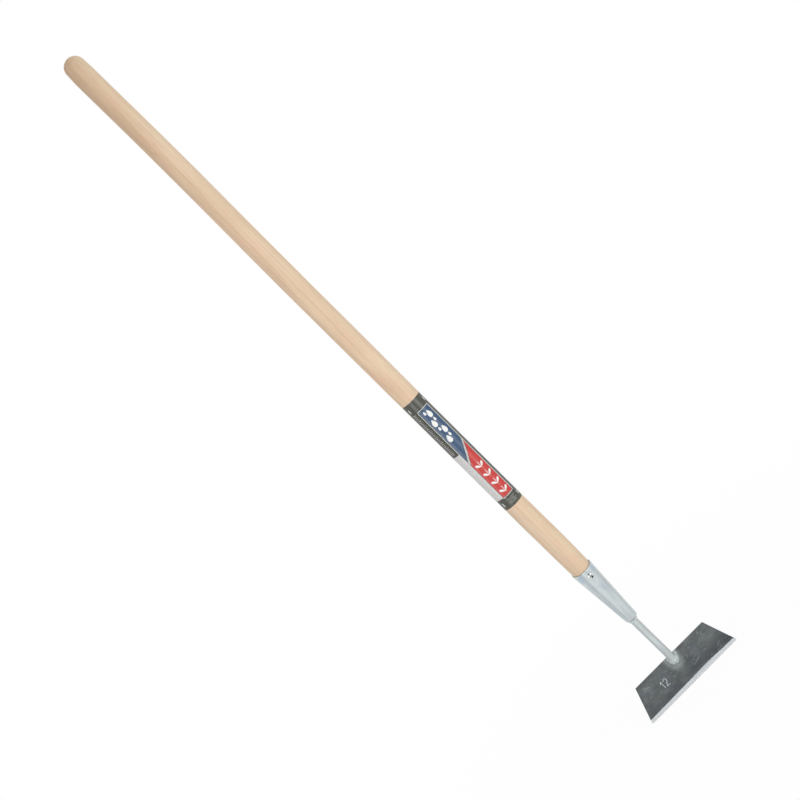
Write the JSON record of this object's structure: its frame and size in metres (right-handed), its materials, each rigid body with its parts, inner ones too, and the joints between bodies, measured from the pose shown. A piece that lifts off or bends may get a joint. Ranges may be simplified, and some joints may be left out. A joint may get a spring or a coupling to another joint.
{
  "type": "dutch hoe",
  "caption": "Short push hoe with a turned wooden handle, a rolled steel socket, a bent round neck and a flat trapezium blade.",
  "frame": {"origin": "on the handle's axis, 150 mm below its top end, where a tool rack's clip or a hand holds the hoe", "axes": "+Z along the handle to its top end; +X along the cutting edge; -Y is the front, which the blade's top face, the screw and the label's front look along"},
  "size_m": [0.1194, 0.0355, 0.8684],
  "materials": {
    "ash": "turned and sanded pale ash, oiled thinly, fine long grain",
    "label_film": "thin printed plastic film with a soft sheen",
    "zinc_steel": "pale zinc plate, a little blue, satin",
    "screw_steel": "bright plated screw",
    "weld_steel": "bright weld bead, rippled",
    "blade_steel": "dark scaled steel with fine scratches, and a bright ground edge"
  },
  "bodies": {
    "root": {"handle": "ash", "label_sleeve": "label_film", "socket": "zinc_steel", "socket_screw": "screw_steel", "neck_rod": "zinc_steel", "socket_weld": "weld_steel", "blade": "blade_steel", "blade_weld": "weld_steel"}
  },
  "joints": []
}
